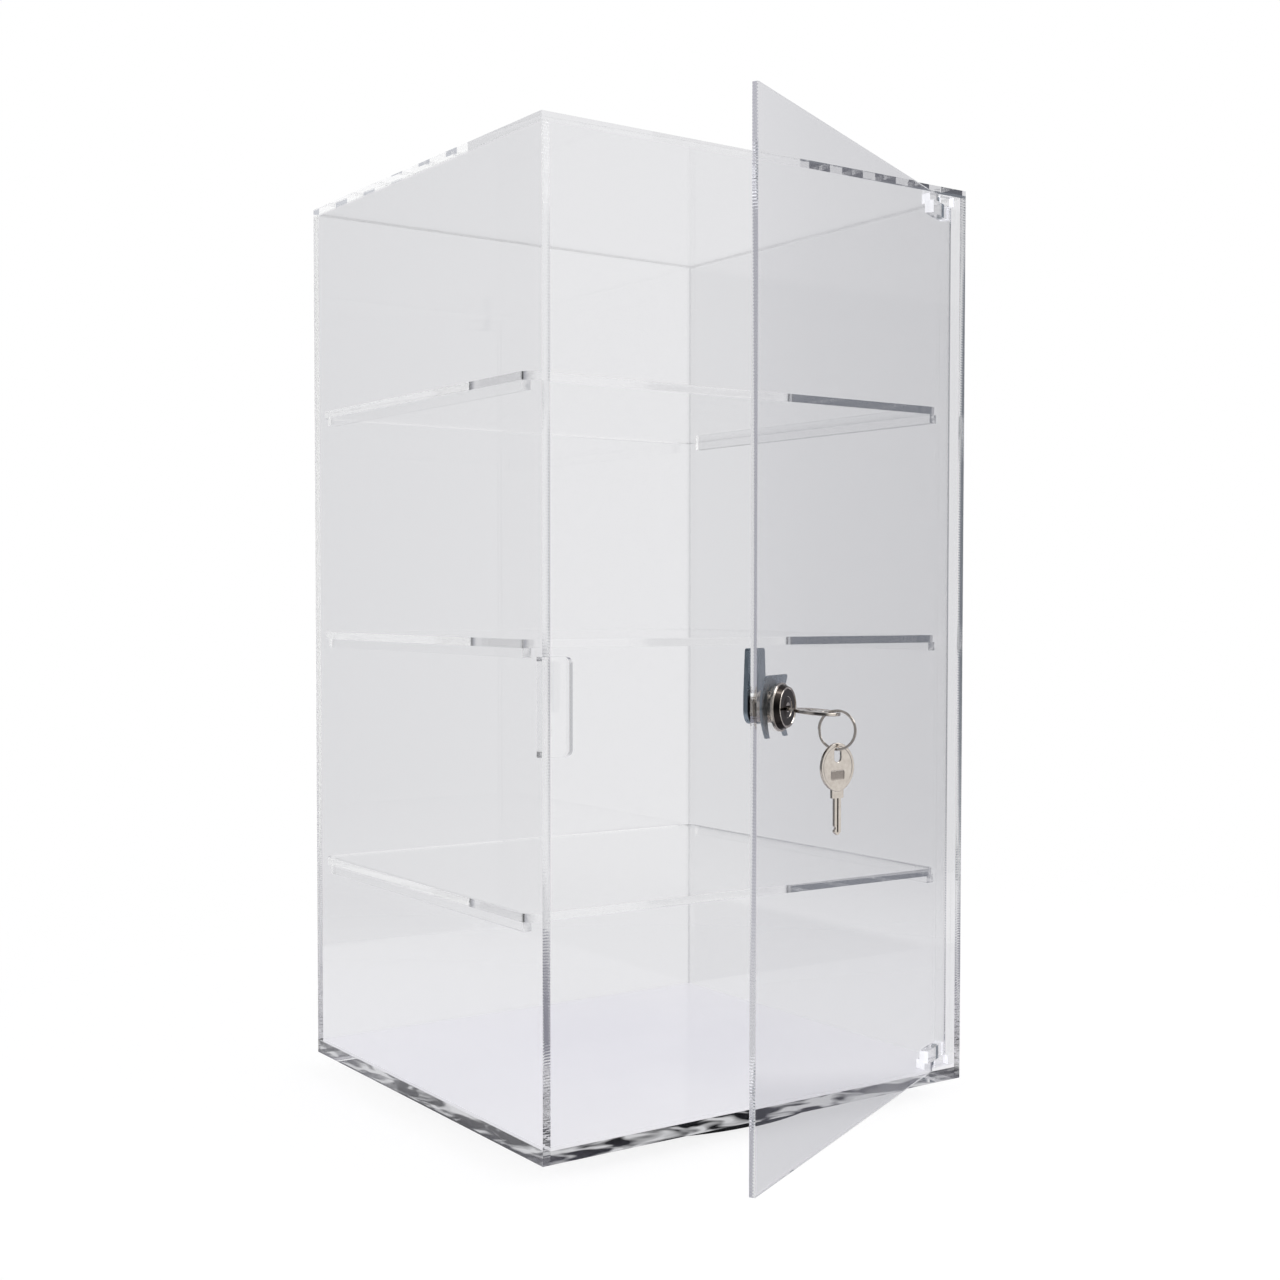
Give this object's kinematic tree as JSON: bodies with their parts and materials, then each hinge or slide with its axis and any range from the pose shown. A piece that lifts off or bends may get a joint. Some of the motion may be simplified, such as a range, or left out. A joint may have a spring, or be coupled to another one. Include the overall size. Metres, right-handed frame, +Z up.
{
  "type": "rotating tower display case",
  "caption": "Tall clear acrylic display case on a ball-bearing turntable, with shelves, a pin-hinged locking door and a cam lock with keys on a ring.",
  "frame": {"origin": "on the turntable's axis, at the table under the anti-slip pad", "axes": "+Z up along the turntable's axis, -Y towards the door side, +X towards the door's hinge"},
  "size_m": [0.32, 0.4837, 0.604],
  "materials": {
    "clear_acrylic": "clear, polished faces and edges",
    "white_acrylic": "opaque white, glossy",
    "black_plastic": "moulded, satin",
    "black_rubber": "matt",
    "natural_nylon": "moulded",
    "bearing_steel": "ground",
    "foam_tape": "adhesive foam",
    "zinc_steel": "zinc plated, bluish",
    "nickel": "nickel plated, polished"
  },
  "bodies": {
    "base": {"antislip_pad": "black_rubber", "base_plate": "black_plastic", "centre_post": "zinc_steel"},
    "ball_cage": {"ball_cage": "natural_nylon", "bearing_balls": "bearing_steel"},
    "case": {"turntable_disc": "black_plastic", "mounting_tape": "foam_tape", "bottom_panel": "clear_acrylic", "floor_liner": "white_acrylic", "left_panel": "clear_acrylic", "right_panel": "clear_acrylic", "back_panel": "clear_acrylic", "top_panel": "clear_acrylic", "lower_shelf": "clear_acrylic", "middle_shelf": "clear_acrylic", "upper_shelf": "clear_acrylic", "lower_left_rail": "clear_acrylic", "lower_right_rail": "clear_acrylic", "middle_left_rail": "clear_acrylic", "middle_right_rail": "clear_acrylic", "upper_left_rail": "clear_acrylic", "upper_right_rail": "clear_acrylic", "strike_plate": "clear_acrylic", "lower_case_block": "clear_acrylic", "upper_case_block": "clear_acrylic"},
    "door": {"door_panel": "clear_acrylic", "lower_door_block": "clear_acrylic", "upper_door_block": "clear_acrylic", "lower_hinge_pin": "zinc_steel", "upper_hinge_pin": "zinc_steel", "lock_housing": "nickel", "lock_clip": "zinc_steel"},
    "lock_plug": {"lock_plug": "nickel", "lock_cam": "zinc_steel", "cam_screw": "zinc_steel"},
    "key": {"lock_key": "nickel"},
    "ring": {"key_ring": "nickel"},
    "spare_key": {"spare_key": "nickel"}
  },
  "joints": [
    {"name": "case_spin", "type": "hinge", "parent": "base", "child": "case", "pos_m": [0, 0, 0.006], "axis": [0, 0, 1], "continuous": true},
    {"name": "cage_spin", "type": "hinge", "parent": "base", "child": "ball_cage", "pos_m": [0, 0, 0.006], "axis": [0, 0, 1], "continuous": true},
    {"name": "door_swing", "type": "hinge", "parent": "case", "child": "door", "pos_m": [0.1395, -0.1535, 0.308], "axis": [0, 0, 1], "range_deg": [-28.65, 71.35]},
    {"name": "lock_turn", "type": "hinge", "parent": "door", "child": "lock_plug", "pos_m": [-0.08774, -0.28506, 0.2765], "axis": [0.4795, -0.8776, 0], "range_deg": [0, 90]},
    {"name": "key_slide", "type": "slide", "parent": "lock_plug", "child": "key", "axis": [0.4795, -0.8776, 0], "range_m": [0, 0.0192]},
    {"name": "ring_swing", "type": "hinge", "parent": "key", "child": "ring", "pos_m": [-0.07198, -0.31392, 0.27357], "axis": [0.4795, -0.8776, 0], "range_deg": [-25, 25]},
    {"name": "spare_key_swing", "type": "hinge", "parent": "ring", "child": "spare_key", "pos_m": [-0.07198, -0.31392, 0.25507], "axis": [0.4795, -0.8776, 0], "range_deg": [-40, 40]}
  ],
  "couplings": [
    {"joint": "cage_spin", "follows": "case_spin", "ratio": 0.5}
  ]
}
